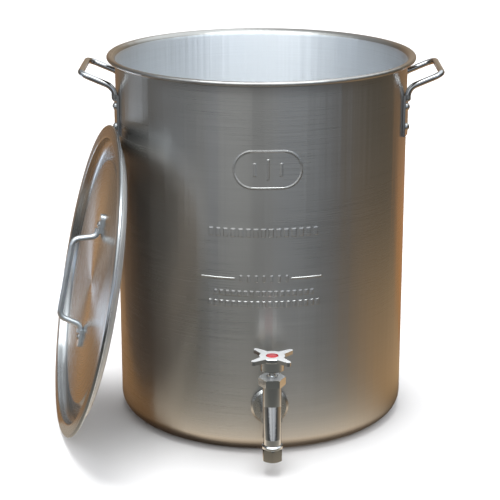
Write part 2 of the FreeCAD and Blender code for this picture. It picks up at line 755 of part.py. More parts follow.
def spout_solid():
    """Leaning spout between two level circles, and its straight end with collar and thread."""
    lean = -s["spout_lean"].value
    circles = []
    for label, radius, offset, height in (
            ("spout_upper", s["spout_root"], 0.0, s["spout_top"]),
            ("spout_lower", s["spout_radius"], lean, s["spout_low"])):
        circle = doc.addObject("Part::Circle", label)
        bind(circle, "Radius", radius)
        circle.Placement = Placement(Vector(0, offset, height.value), Rotation())
        circles.append(circle)
    loft = doc.addObject("Part::Loft", "spout_loft")
    loft.Sections = circles
    loft.Solid = True
    bevel = s["collar_bevel"]
    collar, low, high = s["collar_radius"], s["collar_bottom"], s["collar_top"]
    end = turned("spout_end", [
        (0, s["tail_bottom"]), (s["tail_radius"], s["tail_bottom"]), (s["tail_radius"], low),
        (collar - bevel, low), (collar, low + bevel), (collar, high - bevel), (collar - bevel, high),
        (s["spout_radius"], high), (s["spout_radius"], s["spout_low"]), (0, s["spout_low"])])
    end.Placement = Placement(Vector(0, lean, 0), Rotation())
    return [loft, end]


def body_cavities():
    """Chamber, seat hole, slanted passage, outlet bore and inlet bore."""
    lean = -s["spout_lean"].value
    top = s["column_top"]
    seat = s["seat_height"]
    chamber = drum("chamber", s["chamber_radius"], top - seat + OVERRUN, Vector(0, 0, seat.value))
    hole = drum("seat_hole", s["seat_radius"], seat - s["passage_start"] + OVERRUN * 2,
                Vector(0, 0, s["passage_start"].value - OVERRUN))
    drop = s["passage_drop"]
    lean_angle = degrees(atan2(s["spout_lean"].value, drop.value))
    run = size_sqrt(drop * drop + s["spout_lean"] * s["spout_lean"])
    passage = drum("passage", s["passage_radius"], run, Vector(0, 0, s["passage_start"].value),
                   Rotation(Vector(1, 0, 0), 180 - lean_angle))
    outlet = drum("outlet", s["outlet_radius"], s["outlet_depth"] - s["tail_bottom"] + OVERRUN,
                  Vector(0, lean, s["tail_bottom"].value - OVERRUN))
    inlet = level_drum("inlet", s["port_radius"], s["shank_end"] - OVERRUN, s["tap_reach"])
    return group("cavities", [chamber, hole, passage, outlet, inlet])


def make_valve_body():
    column = drum("column", s["column_radius"], s["column_top"] - s["column_bottom"],
                  Vector(0, 0, s["column_bottom"].value))
    neck = level_drum("neck", s["neck_radius"], s["neck_face"], s["tap_reach"])
    shank = level_drum("shank", s["shank_radius"], s["shank_end"], s["tap_reach"])
    solid = fused("valve_solid", [column, neck, shank] + spout_solid())
    return on_tap(minus("valve_body", solid, body_cavities()))


def make_wall_flange():
    """Round flange with a wide bevel, its axis level."""
    inner = s["shank_radius"] + s["hole_play"]
    outer, sheet, bevel = s["flange_radius"], s["flange_sheet"], s["flange_bevel"]
    disc = turned("flange_disc", [
        (inner, 0), (outer, 0), (outer, sheet - bevel), (outer - bevel, sheet), (inner, sheet)])
    back = s["tap_reach"].value - s["neck_face"].value + sheet.value
    disc.Placement = Placement(Vector(0, back, s["port_height"].value), TO_FRONT)
    return on_tap(group("wall_flange", [disc]))


def make_outer_gasket():
    """Gasket shaped to the round wall on its inner side."""
    inner = s["shank_radius"] + s["hole_play"]
    flat = s["neck_face"] - s["flange_sheet"]
    blank = level_ring("gasket_blank", inner, s["gasket_radius"], s["wall_radius"] - GASKET_RUN, flat)
    return on_tap(minus("outer_gasket", blank, pot_drum("wall_outside", s["wall_radius"])))


def make_inner_gasket():
    """Gasket shaped to the round wall on its outer side."""
    inner = s["shank_radius"] + s["hole_play"]
    blank = level_ring("inner_blank", inner, s["fixing_radius"], s["inner_gasket_face"], s["wall_radius"])
    inside = pot_drum("wall_inside", s["wall_radius"] - s["wall_sheet"])
    return on_tap(common("inner_gasket", [blank, inside]))


def make_inner_washer():
    inner = s["shank_radius"] + s["hole_play"]
    far = s["inner_gasket_face"]
    return on_tap(level_ring("inner_washer", inner, s["fixing_radius"], far - s["washer_sheet"], far))


def make_lock_nut():
    """Hexagonal nut on the shank, inside the pot."""
    far = s["inner_gasket_face"] - s["washer_sheet"]
    blank = hexagon("lock", s["lock_nut_flats"], as_size(0.0), s["lock_nut_sheet"])
    bore = drum("lock_bore", s["shank_radius"] + s["hole_play"], s["lock_nut_sheet"] + OVERRUN * 2,
                Vector(0, 0, -OVERRUN))
    nut = minus("lock_blank", blank, bore)
    nut.Placement = Placement(Vector(0, s["tap_reach"].value - far.value, s["port_height"].value), TO_REAR)
    return on_tap(group("lock_nut", [nut]))


def make_bonnet():
    """Hexagonal head piece that guides the stem."""
    bottom = s["column_top"] + s["fibre_sheet"]
    head = hexagon("bonnet", s["bonnet_flats"], bottom, s["bonnet_top"])
    skirt = drum("bonnet_skirt", s["bonnet_skirt"], bottom - s["bonnet_bottom"] + OVERRUN,
                 Vector(0, 0, s["bonnet_bottom"].value))
    wide = s["thread_radius"] + s["running_play"]
    slim = s["stem_radius"] + s["running_play"]
    bore = turned("bonnet_bore", [
        (0, s["bonnet_bottom"] - OVERRUN), (wide, s["bonnet_bottom"] - OVERRUN), (wide, s["stem_room"]),
        (slim, s["stem_room"]), (slim, s["packing_floor"]), (s["packing_radius"], s["packing_floor"]),
        (s["packing_radius"], s["bonnet_top"] + OVERRUN), (0, s["bonnet_top"] + OVERRUN)])
    return on_tap(minus("bonnet", fused("bonnet_solid", [head, skirt]), bore))


def make_bonnet_washer():
    inner = s["bonnet_skirt"] + s["hole_play"]
    top = s["column_top"] + s["fibre_sheet"]
    return on_tap(ring("bonnet_washer", inner, s["column_radius"], s["column_top"], top))


def make_packing_ring():
    inner = s["stem_radius"] + s["running_play"]
    outer = s["packing_radius"] - s["hole_play"]
    return on_tap(ring("packing_ring", inner, outer, s["packing_floor"] + s["hole_play"], s["packing_top"]))


def make_packing_nut():
    """Small screwed gland over the packing."""
    inner = s["stem_radius"] + s["running_play"]
    outer = s["packing_radius"] - s["hole_play"]
    low = s["packing_top"] + s["hole_play"]
    brim = s["bonnet_top"] + s["hole_play"]
    top, head, bevel = s["gland_top"], s["gland_radius"], s["gland_bevel"]
    return on_tap(turned("packing_nut", [
        (inner, low), (outer, low), (outer, brim), (head, brim),
        (head, top - bevel), (head - bevel, top), (inner, top)]))


def make_outlet_nut():
    """Hexagonal nut under the spout, a corner towards the front."""
    lean = -s["spout_lean"].value
    low, high = s["nut_bottom"], s["collar_bottom"] - s["hole_play"]
    thread = s["tail_radius"] + s["hole_play"]
    blank = hexagon("outlet", s["nut_flats"], low, high)
    bore = turned("outlet_nut_bore", [
        (0, low - OVERRUN), (s["outlet_radius"], low - OVERRUN), (s["outlet_radius"], low + s["nut_lip"]),
        (thread, low + s["nut_lip"]), (thread, high + OVERRUN), (0, high + OVERRUN)])
    nut = minus("outlet_nut_blank", blank, bore)
    nut.Placement = Placement(Vector(0, lean, 0), Rotation(UPRIGHT, FULL_TURN / HEX_SIDES / 2))
    return on_tap(group("outlet_nut", [nut]))


def make_outlet_washer():
    lean = -s["spout_lean"].value
    low = s["nut_bottom"] + s["nut_lip"]
    washer = ring("outlet_seal", s["outlet_radius"], s["tail_radius"] - s["hole_play"],
                  low + s["hole_play"], s["tail_bottom"] - s["hole_play"] / 2)
    washer.Placement = Placement(Vector(0, lean, 0), Rotation())
    return on_tap(group("outlet_washer", [washer]))


# ---------------------------------------------------------------- tap, moving pieces

def make_seat_washer():
    low = s["seat_height"] + s["seat_gap"]
    inner = s["seat_screw_radius"] + s["hole_play"]
    return on_tap(ring("seat_washer", inner, s["seat_washer_radius"], low, low + s["seat_washer_sheet"]))


def make_washer_holder():
    """Disc over the seat washer with a guide rod that turns freely in the stem."""
    low = s["seat_height"] + s["seat_gap"] + s["seat_washer_sheet"]
    high = low + s["holder_sheet"]
    inner = s["seat_screw_radius"] + s["hole_play"]
    roof = s["seat_screw_end"] + s["seat_screw_room"]
    rod = s["guide_radius"]
    return on_tap(turned("washer_holder", [
        (inner, low), (s["holder_radius"], low), (s["holder_radius"], high), (rod, high),
        (rod, s["guide_top"]), (0, s["guide_top"]), (0, roof), (inner, roof)]))


def make_washer_screw():
    low = s["seat_height"] + s["seat_gap"] - s["hole_play"] / 2
    bottom = low - s["seat_screw_head_sheet"]
    head, shank = s["seat_screw_head"], s["seat_screw_radius"]
    return on_tap(turned("washer_screw", [
        (0, bottom), (head, bottom), (head, low),
        (shank, low), (shank, s["seat_screw_end"]), (0, s["seat_screw_end"])]))


def make_stem():
    """Stem: threaded part, thinner part through the packing, and the tip inside the handle."""
    guide = s["guide_radius"] + s["running_play"]
    hole = s["cap_screw_radius"] + s["hole_play"]
    roof = s["guide_top"] + s["guide_room"]
    return on_tap(turned("stem", [
        (guide, s["stem_bottom"]), (s["thread_radius"], s["stem_bottom"]),
        (s["thread_radius"], s["thread_top"]),
        (s["stem_radius"], s["thread_top"]), (s["stem_radius"], s["stem_shoulder"]),
        (s["stem_tip_radius"], s["stem_shoulder"]), (s["stem_tip_radius"], s["stem_tip"]),
        (hole, s["stem_tip"]), (hole, s["cap_hole_floor"]), (0, s["cap_hole_floor"]),
        (0, roof), (guide, roof)]))


def handle_arms():
    """Four tapered arms with round tips, made as one arm and a turned pattern of it."""
    body = new_body("arms")
    reach, tip, root = s["arm_reach"], s["arm_tip"], s["arm_root"]
    sketch = body_sketch(body, "XY_Plane", [
        (0, -root), (reach, -tip), (reach + tip, 0, tip, 1), (reach, tip, tip, 1), (0, root)])
    pad = body.newObject("PartDesign::Pad", "arm")
    pad.Profile = sketch
    bind(pad, "Length", s["handle_sheet"])
    doc.recompute()
    pattern = body.newObject("PartDesign::PolarPattern", "arm_pattern")
    pattern.Originals = [pad]
    pattern.Axis = (sketch, ["N_Axis"])
    pattern.Angle = FULL_TURN
    pattern.Occurrences = ARMS
    body.Tip = pattern
    low = s["handle_top"].value - s["handle_sheet"].value
    body.Placement = Placement(Vector(0, 0, low), Rotation(UPRIGHT, s["handle_turn"].value))
    return body


def make_cross_handle():
    """Cross handle: arms, hub with a deep skirt, and the stepped hole for stem, screw and button."""
    top, under = s["handle_top"], s["handle_top"] - s["handle_sheet"]
    low, lip = s["bell_bottom"], s["bell_lip"]
    wall, bevel, under_bevel = s["hub_radius"], s["hub_bevel"], s["hub_under_bevel"]
    hub = turned("hub", [
        (0, low), (s["bell_radius"], low), (s["bell_radius"], low + lip),
        (s["bell_waist"], under - s["waist_drop"]), (wall - under_bevel, under),
        (wall, under + under_bevel), (wall, top - bevel), (wall - bevel, top), (0, top)])
    wide = s["stem_radius"] + s["hole_play"]
    snug = s["stem_tip_radius"] + s["hole_play"]
    hole = s["cap_screw_radius"] + s["hole_play"]
    seat, button = s["cap_screw_floor"], s["button_floor"]
    head = s["cap_screw_head"] + s["cap_play"]
    cap = s["button_radius"] + s["cap_play"]
    step = s["stem_shoulder"] + s["hole_play"]
    roof = s["stem_tip"] + s["hole_play"]
    bore = turned("hub_bore", [
        (0, low - OVERRUN), (wide, low - OVERRUN), (wide, step), (snug, step), (snug, roof),
        (hole, roof), (hole, seat), (head, seat), (head, button),
        (cap, button), (cap, top + OVERRUN), (0, top + OVERRUN)])
    return on_tap(minus("cross_handle", fused("cross_solid", [handle_arms(), hub]), bore))


def make_handle_screw():
    """Cap screw with a hexagon socket."""
    floor = s["cap_screw_floor"] + s["hole_play"]
    top, head, shank = s["cap_screw_top"], s["cap_screw_head"], s["cap_screw_radius"]
    bevel = s["cap_screw_bevel"]
    solid = turned("screw_solid", [
        (0, s["cap_screw_end"]), (shank, s["cap_screw_end"]), (shank, floor), (head, floor),
        (head, top - bevel), (head - bevel, top), (0, top)])
    socket = doc.addObject("Part::Prism", "socket")
    socket.Polygon = HEX_SIDES
    bind(socket, "Circumradius", head / 2)
    bind(socket, "Height", s["cap_socket_depth"] + OVERRUN)
    bind(socket, ".Placement.Base.z", top - s["cap_socket_depth"])
    return on_tap(minus("handle_screw", solid, socket))


def make_index_button():
    """Round plastic button that covers the handle screw."""
    low = s["button_floor"] + s["hole_play"]
    edge = low + s["button_sheet"]
    radius, dome = s["button_radius"], s["button_dome"]
    rise = (radius * radius + dome * dome) / (dome * 2)
    return on_tap(turned("index_button", [
        (0, low), (radius, low), (radius, edge), (0, edge + dome, rise, 1)]))


# ---------------------------------------------------------------- lid
# Everything here is drawn about the lid's own axis, with z = 0 at the lid's top.

def lid_cutters(name):
    """The two drums that cut the rivet holes of the lid or of its handle."""
    radius = s["lid_rivet_shank"] + s["hole_play"]
    cutters = []
    for side in (-1, 1):
        base = Vector(0, side * s["lid_rivet_reach"].value, LID_CUTTER_START)
        cutters.append(drum(name, radius, as_size(CUTTER_REACH), base))
    return group(name + "s", cutters)


def make_lid_shell():
    """Pressed lid: sunk middle panel, plug that enters the pot, flat edge and rolled bead."""
    sheet, bead = s["lid_sheet"], s["lid_bead"]
    bead_r = s["lid_radius"] - bead
    plug, corner, deep = s["plug_radius"], s["plug_corner"], s["plug_depth"]
    panel, step, drop = s["panel_radius"], s["panel_step"], s["panel_drop"]
    shell = turned("lid_solid", [
        (0, -drop), (panel, -drop), (panel + step, sheet - deep), (plug - corner, sheet - deep),
        (plug - sheet, corner - deep, corner - sheet, 1), (plug - sheet, 0), (bead_r, 0),
        (bead_r + bead, -bead, bead, -1), (bead_r, -(bead * 2), bead, -1),
        (bead_r - bead, -bead, bead, -1),
        (bead_r - bead, -sheet), (plug, -sheet), (plug, corner - deep),
        (plug - corner, -deep, corner, -1), (panel + step, -deep), (panel, -(drop + sheet)),
        (0, -(drop + sheet))])
    return on_lid(minus("lid_shell", shell, lid_cutters("lid_hole")))


def lid_handle_rod():
    """Bent rod of the lid handle."""
    rod = s["lid_rod"]
    foot = rod - s["panel_drop"] + s["hole_play"]
    rise, grip, leg = s["lid_grip_rise"], s["lid_grip_half"], s["lid_leg_half"]
    start = (s["lid_foot_start"] + s["lid_rod_run"], foot)
    low_corner = (leg, foot)
    top_corner = (grip, rise)
    far_corner = (-grip, rise)
    foot_in, foot_out = rounded_corner(start, low_corner, top_corner, s["lid_foot_bend"])
    grip_in, grip_out = rounded_corner(low_corner, top_corner, far_corner, s["lid_grip_bend"])
    steps = [start, foot_in, foot_out + (s["lid_foot_bend"], -1), grip_in,
             grip_out + (s["lid_grip_bend"], 1),
             (-grip_out[0], grip_out[1]),
             (-grip_in[0], grip_in[1], s["lid_grip_bend"], 1),
             (-foot_out[0], foot_out[1]),
             (-foot_in[0], foot_in[1], s["lid_foot_bend"], -1),
             (-start[0], start[1])]
    side_on = Rotation(Vector(0, 1, 0), Vector(0, 0, 1), Vector(1, 0, 0), "ZXY")
    path = path_sketch("lid_handle_path", steps, Placement(Vector(), side_on))
    return swept("lid_rod", path, rod)


def lid_foot(side):
    """Flattened, round-ended foot with room for its rivet."""
    low = s["hole_play"] - s["panel_drop"]
    length = s["lid_foot_end"] - s["lid_foot_start"] - s["lid_foot_width"] / 2
    plate = doc.addObject("Part::Box", "foot_plate")
    bind(plate, "Length", s["lid_foot_width"])
    bind(plate, "Width", length)
    bind(plate, "Height", s["lid_foot_sheet"])
    near = s["lid_foot_start"].value
    if side < 0:
        near = -near - length.value
    plate.Placement = Placement(Vector(-s["lid_foot_width"].value / 2, near, low.value), Rotation())
    far = side * (s["lid_foot_start"].value + length.value)
    tip = drum("foot_tip", s["lid_foot_width"] / 2, s["lid_foot_sheet"], Vector(0, far, low.value))
    return [plate, tip]


def make_lid_handle():
    whole = fused("lid_handle_whole", [lid_handle_rod()] + lid_foot(1) + lid_foot(-1))
    return on_lid(minus("lid_handle", whole, lid_cutters("foot_hole")))


def make_lid_rivets():
    seat = s["lid_foot_sheet"].value + s["hole_play"].value - s["panel_drop"].value
    grip = s["lid_foot_sheet"] + s["hole_play"] + s["lid_sheet"] + s["rivet_tail_gap"]
    rivets = []
    for side in (-1, 1):
        piece = rivet("lid_rivet", s["lid_rivet_head"], s["lid_rivet_dome"], s["lid_rivet_shank"],
                      grip, s["lid_rivet_head"], s["rivet_tail_sheet"])
        piece.Placement = Placement(Vector(0, side * s["lid_rivet_reach"].value, seat), Rotation())
        rivets.append(piece)
    return on_lid(group("lid_rivets", rivets))


# ---------------------------------------------------------------- assembly

def make_all():
    right_handle = make_right_handle()
    return [
        make_pot_shell(), make_left_handle(right_handle), right_handle, make_handle_rivets(),
        make_valve_body(), make_wall_flange(), make_outer_gasket(), make_inner_gasket(),
        make_inner_washer(), make_lock_nut(), make_bonnet(), make_bonnet_washer(),
        make_packing_ring(), make_packing_nut(), make_outlet_nut(), make_outlet_washer(),
        make_seat_washer(), make_washer_holder(), make_washer_screw(),
        make_stem(), make_cross_handle(), make_handle_screw(), make_index_button(),
        make_lid_shell(), make_lid_handle(), make_lid_rivets(),
    ]


def check_features():
    """Stop when any feature failed or has no shape."""
    for item in doc.Objects:
        state = [word for word in item.State if word in ("Invalid", "Error")]
        if state:
            raise RuntimeError("%s is %s" % (item.Name, state))


def write_node(feature):
    """Check one finished piece and write it."""
    shape = feature.Shape
    if shape.isNull() or not shape.isValid() or not shape.Solids:
        raise RuntimeError("%s has no valid solid" % feature.Name)
    feature.Label = feature.Name
    path = "parts/%s.step" % feature.Name
    shape.exportStep(path)
    box = shape.BoundBox
    print("%-15s solids %d volume %9.1f mm3  x %.1f %.1f  y %.1f %.1f  z %.1f %.1f" % (
        feature.Name, len(shape.Solids), shape.Volume,
        box.XMin, box.XMax, box.YMin, box.YMax, box.ZMin, box.ZMax))


doc = FreeCAD.newDocument("BrewKettle")
s = start_sheet()
nodes = make_all()
doc.recompute()
check_features()
os.makedirs("parts", exist_ok=True)
for node in nodes:
    write_node(node)
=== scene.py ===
import bmesh
import bpy
import json
import math
from mathutils import Matrix, Vector


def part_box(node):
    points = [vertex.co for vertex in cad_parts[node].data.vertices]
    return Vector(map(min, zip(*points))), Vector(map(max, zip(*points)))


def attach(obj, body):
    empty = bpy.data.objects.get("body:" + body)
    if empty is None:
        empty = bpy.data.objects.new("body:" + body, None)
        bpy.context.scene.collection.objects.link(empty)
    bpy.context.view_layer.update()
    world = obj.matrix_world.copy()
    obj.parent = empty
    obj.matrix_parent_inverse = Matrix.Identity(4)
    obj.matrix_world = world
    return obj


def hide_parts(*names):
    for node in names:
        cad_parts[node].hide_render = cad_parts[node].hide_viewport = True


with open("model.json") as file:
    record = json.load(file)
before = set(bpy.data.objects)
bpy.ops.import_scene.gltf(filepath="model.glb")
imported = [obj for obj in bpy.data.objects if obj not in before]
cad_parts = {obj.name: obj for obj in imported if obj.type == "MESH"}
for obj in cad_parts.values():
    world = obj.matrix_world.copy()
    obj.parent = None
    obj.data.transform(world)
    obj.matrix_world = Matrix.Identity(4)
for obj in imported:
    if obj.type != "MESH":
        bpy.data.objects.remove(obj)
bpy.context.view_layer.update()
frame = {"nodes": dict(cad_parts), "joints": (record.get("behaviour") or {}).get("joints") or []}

# ------------------------------------------------------------------ sizes, in metres

_, POT_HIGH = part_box("pot_shell")
HEIGHT = POT_HIGH.z
RIM = POT_HIGH.x
WALL = 0.163
SHEET = 0.001
FLOOR_SHEET = 0.0012
CORNER = 0.018
BEAD = 0.0025
RELIEF = 0.0005

LID_RADIUS = 0.1744
LID_SHEET = 0.001
LID_BEAD = 0.002
PLUG = 0.161
PLUG_CORNER = 0.008
PLUG_DEPTH = 0.0125
PANEL = 0.136
PANEL_DROP = 0.007
PANEL_STEP = 0.005
LID_TURN = math.radians(192.2)
LID_CENTRE = Vector((-0.1949, -0.0816, 0.0))
LID_EDGE_GAP = 0.0005


# ------------------------------------------------------------------ mesh helpers

def mesh_piece(name, verts, faces, place=Matrix.Identity(4), sharp=35.0):
    """New mesh object with smooth faces, and sharp edges where faces meet at a steeper angle."""
    mesh = bpy.data.meshes.new(name)
    mesh.from_pydata([tuple(v) for v in verts], [], faces)
    mesh.validate()
    piece = bpy.data.objects.new(name, mesh)
    bpy.context.scene.collection.objects.link(piece)
    piece.matrix_world = place
    tidy_mesh(mesh, sharp)
    return piece


def tidy_mesh(mesh, sharp):
    """Merge doubled points, turn the faces outwards and mark sharp edges."""
    bm = bmesh.new()
    bm.from_mesh(mesh)
    bmesh.ops.remove_doubles(bm, verts=bm.verts, dist=1e-6)
    bmesh.ops.recalc_face_normals(bm, faces=bm.faces)
    limit = math.radians(sharp)
    for face in bm.faces:
        face.smooth = True
    for edge in bm.edges:
        edge.smooth = not (len(edge.link_faces) == 2 and edge.calc_face_angle() > limit)
    bm.to_mesh(mesh)
    bm.free()


def arc(centre_r, centre_z, radius, start, end, steps):
    """Profile points of an arc, angles in degrees from the +r direction."""
    points = []
    for index in range(steps + 1):
        angle = math.radians(start + (end - start) * index / steps)
        points.append((centre_r + radius * math.cos(angle), centre_z + radius * math.sin(angle)))
    return points


def turn_profile(profile, angles, move=None):
    """Vertices and faces of a closed profile turned about Z; ends on the axis become fans."""
    verts, rows = [], []
    for number, (radius, height) in enumerate(profile):
        if radius < 1e-7:
            rows.append([len(verts)] * len(angles))
            verts.append((0.0, 0.0, height))
            continue
        row = []
        for angle in angles:
            wide = radius + (move(angle, number, radius, height) if move else 0.0)
            row.append(len(verts))
            verts.append((wide * math.sin(angle), -wide * math.cos(angle), height))
        rows.append(row)
    faces = []
    count = len(angles)
    for lower, upper in zip(rows, rows[1:]):
        for index in range(count):
            following = (index + 1) % count
            corners = [lower[index], lower[following], upper[following], upper[index]]
            face = list(dict.fromkeys(corners))
            if len(face) > 2:
                faces.append(face)
    return verts, faces


def even_angles(count):
    """Angles of a whole turn in equal steps."""
    return [2 * math.pi * index / count for index in range(count)]


# ------------------------------------------------------------------ shader helpers

class Nodes:
    """Short way to add and join shader nodes."""

    def __init__(self, tree):
        self.tree = tree

    def add(self, kind, inputs=None, **settings):
        """New node with its settings and inputs."""
        node = self.tree.nodes.new("ShaderNode" + kind)
        for key, value in settings.items():
            setattr(node, key, value)
        for key, value in (inputs or {}).items():
            self.feed(node.inputs[key], value)
        return node

    def feed(self, socket, value):
        """Join a socket to an output, or give it a plain value."""
        if isinstance(value, bpy.types.NodeSocket):
            self.tree.links.new(value, socket)
        else:
            socket.default_value = value

    def maths(self, operation, *values):
        """Result of one arithmetic step."""
        node = self.tree.nodes.new("ShaderNodeMath")
        node.operation = operation
        for socket, value in zip(node.inputs, values):
            self.feed(socket, value)
        return node.outputs[0]

    def ramp(self, factor, stops):
        """Colour that follows a factor through stops of (place, colour)."""
        node = self.tree.nodes.new("ShaderNodeValToRGB")
        elements = node.color_ramp.elements
        while len(elements) < len(stops):
            elements.new(0.5)
        for element, (place, colour) in zip(elements, stops):
            element.position = place
            element.color = tuple(colour) + (1.0,) if len(colour) == 3 else colour
        self.feed(node.inputs["Fac"], factor)
        return node.outputs["Color"]

    def mix(self, factor, first, second):
        """Colour that goes from the first to the second as the factor goes from 0 to 1."""
        node = self.tree.nodes.new("ShaderNodeMix")
        node.data_type = "RGBA"
        self.feed(node.inputs["Factor"], factor)
        self.feed(node.inputs["A"], first)
        self.feed(node.inputs["B"], second)
        return node.outputs["Result"]

    def span(self, value, low, high, start=0.0, end=1.0):
        """Smooth step from start to end while the value goes from low to high."""
        node = self.tree.nodes.new("ShaderNodeMapRange")
        node.interpolation_type = "SMOOTHSTEP"
        for key, item in (("Value", value), ("From Min", low), ("From Max", high),
                          ("To Min", start), ("To Max", end)):
            self.feed(node.inputs[key], item)
        return node.outputs["Result"]


def colour4(colour):
    """Colour with full cover."""
    return tuple(colour) + (1.0,)


def new_material(name):
    """Empty material with one shader joined to its output."""
    material = bpy.data.materials.new(name)
    material.use_nodes = True
    tree = material.node_tree
    tree.nodes.clear()
    nodes = Nodes(tree)
    shader = nodes.add("BsdfPrincipled")
    output = nodes.add("OutputMaterial")
    tree.links.new(shader.outputs["BSDF"], output.inputs["Surface"])
    return material, nodes, shader


def around_axis(nodes):
    """Angle about the object's Z, distance from it, and height, from object coordinates."""
    place = nodes.add("TexCoord").outputs["Object"]
    split = nodes.add("SeparateXYZ", {0: place})
    x, y, z = split.outputs
    angle = nodes.maths("ARCTAN2", x, nodes.maths("MULTIPLY", y, -1.0))
    distance = nodes.maths("SQRT", nodes.maths("ADD", nodes.maths("MULTIPLY", x, x),
                                               nodes.maths("MULTIPLY", y, y)))
    return place, angle, distance, z


def streaks(nodes, along, across, third, along_scale, across_scale, detail=3.0):
    """Noise drawn out along a brushing direction."""
    vector = nodes.add("CombineXYZ", {0: nodes.maths("MULTIPLY", along, along_scale),
                                      1: nodes.maths("MULTIPLY", across, across_scale),
                                      2: third})
    noise = nodes.add("TexNoise", {"Vector": vector.outputs[0], "Scale": 1.0, "Detail": detail,
                                   "Roughness": 0.6})
    return noise.outputs["Fac"]


GRAIN_DARK, GRAIN_LIGHT = 0.95, 1.04
FINE_LINES, BROAD_LINES = 2600.0, 420.0
FINE_SHARE, BROAD_SHARE = 0.88, 0.12
LINE_DEPTH, LINE_STRENGTH = 0.00006, 0.12
QUARTER_TURN = 0.25


def brushed_steel(name, colour, roughness, anisotropy, flat, wave=0.0, lines=1.0, metallic=1.0):
    """Steel brushed around its own Z axis: on walls the lines are level, on discs they are rings.

    Roughness and anisotropy shape the highlight, wave is the height of slow dents in metres,
    lines scales the relief of the brushing, and metallic below 1 gives a duller, satin face.
    """
    material, nodes, shader = new_material(name)
    place, angle, distance, height = around_axis(nodes)
    across = distance if flat else height
    turned = nodes.maths("SINE", angle)
    fine = streaks(nodes, turned, across, nodes.maths("COSINE", angle), 1.6, FINE_LINES)
    broad = streaks(nodes, turned, across, nodes.maths("COSINE", angle), 0.6, BROAD_LINES, 2.0)
    cloud = nodes.add("TexNoise", {"Vector": place, "Scale": 7.0, "Detail": 3.0}).outputs["Fac"]
    dark = tuple(part * GRAIN_DARK for part in colour)
    light = tuple(min(part * GRAIN_LIGHT, 1.0) for part in colour)
    grain = nodes.maths("ADD", nodes.maths("MULTIPLY", fine, FINE_SHARE),
                        nodes.maths("MULTIPLY", broad, BROAD_SHARE))
    tone = nodes.ramp(grain, [(0.3, dark), (0.7, light)])
    nodes.feed(shader.inputs["Base Color"], tone)
    shader.inputs["Metallic"].default_value = metallic
    shader.inputs["Anisotropic"].default_value = anisotropy
    rough = nodes.maths("ADD", nodes.span(grain, 0.3, 0.7, roughness - 0.03, roughness + 0.03),
                        nodes.span(cloud, 0.35, 0.65, -0.012, 0.012))
    nodes.feed(shader.inputs["Roughness"], rough)
    tangent = nodes.add("Tangent", direction_type="RADIAL", axis="Z")
    nodes.feed(shader.inputs["Tangent"], tangent.outputs[0])
    shader.inputs["Anisotropic Rotation"].default_value = QUARTER_TURN
    bump = nodes.add("Bump", {"Strength": LINE_STRENGTH * lines, "Distance": LINE_DEPTH, "Height": fine})
    if wave:
        swell = streaks(nodes, turned, height, nodes.maths("MULTIPLY", nodes.maths("COSINE", angle), 14.0),
                        14.0, 1.2, 2.0)
        swell_bump = nodes.add("Bump", {"Strength": 1.0, "Distance": wave, "Height": swell})
        nodes.feed(bump.inputs["Normal"], swell_bump.outputs[0])
    nodes.feed(shader.inputs["Normal"], bump.outputs[0])
    return material


RIPPLE = 0.00002
SPECKS = 900.0


def polished_metal(name, colour, roughness, scuff=0.05, satin=0.0, metallic=1.0):
    """Plated or polished metal with light scuffs and a slight ripple; satin dulls faces that look up."""
    material, nodes, shader = new_material(name)
    place = nodes.add("TexCoord").outputs["Object"]
    cloud = nodes.add("TexNoise", {"Vector": place, "Scale": 60.0, "Detail": 4.0}).outputs["Fac"]
    speck = nodes.add("TexNoise", {"Vector": place, "Scale": SPECKS, "Detail": 2.0}).outputs["Fac"]
    dark = tuple(part * 0.93 for part in colour)
    nodes.feed(shader.inputs["Base Color"], nodes.ramp(cloud, [(0.3, dark), (0.65, colour)]))
    shader.inputs["Metallic"].default_value = metallic
    if satin:
        upward = nodes.add("SeparateXYZ", {0: nodes.add("TexCoord").outputs["Normal"]}).outputs[2]
        nodes.feed(shader.inputs["Metallic"], nodes.span(upward, 0.93, 0.99, 1.0, 1.0 - satin))
    rough = nodes.maths("ADD", nodes.span(cloud, 0.35, 0.7, roughness, roughness + scuff),
                        nodes.span(speck, 0.4, 0.7, 0.0, scuff * 0.4))
    nodes.feed(shader.inputs["Roughness"], rough)
    bump = nodes.add("Bump", {"Strength": 0.3, "Distance": RIPPLE, "Height": cloud})
    nodes.feed(shader.inputs["Normal"], bump.outputs[0])
    return material


def moulded(name, colour, roughness, grain, depth, specular=0.5, mottle=0.85, coat=0.0):
    """Plastic, rubber or fibre with a fine surface grain."""
    material, nodes, shader = new_material(name)
    place = nodes.add("TexCoord").outputs["Object"]
    cloud = nodes.add("TexNoise", {"Vector": place, "Scale": grain * 0.2, "Detail": 4.0}).outputs["Fac"]
    speck = nodes.add("TexNoise", {"Vector": place, "Scale": grain, "Detail": 3.0}).outputs["Fac"]
    dark = tuple(part * mottle for part in colour)
    nodes.feed(shader.inputs["Base Color"], nodes.ramp(cloud, [(0.3, dark), (0.7, colour)]))
    nodes.feed(shader.inputs["Roughness"], nodes.span(speck, 0.3, 0.7, roughness - 0.06, roughness + 0.06))
    shader.inputs["Specular IOR Level"].default_value = specular
    shader.inputs["Coat Weight"].default_value = coat
    bump = nodes.add("Bump", {"Strength": 0.35, "Distance": depth, "Height": speck})
    nodes.feed(shader.inputs["Normal"], bump.outputs[0])
    return material


# ------------------------------------------------------------------ materials

STEEL = (0.48, 0.47, 0.45)
CHROME = (0.64, 0.65, 0.66)

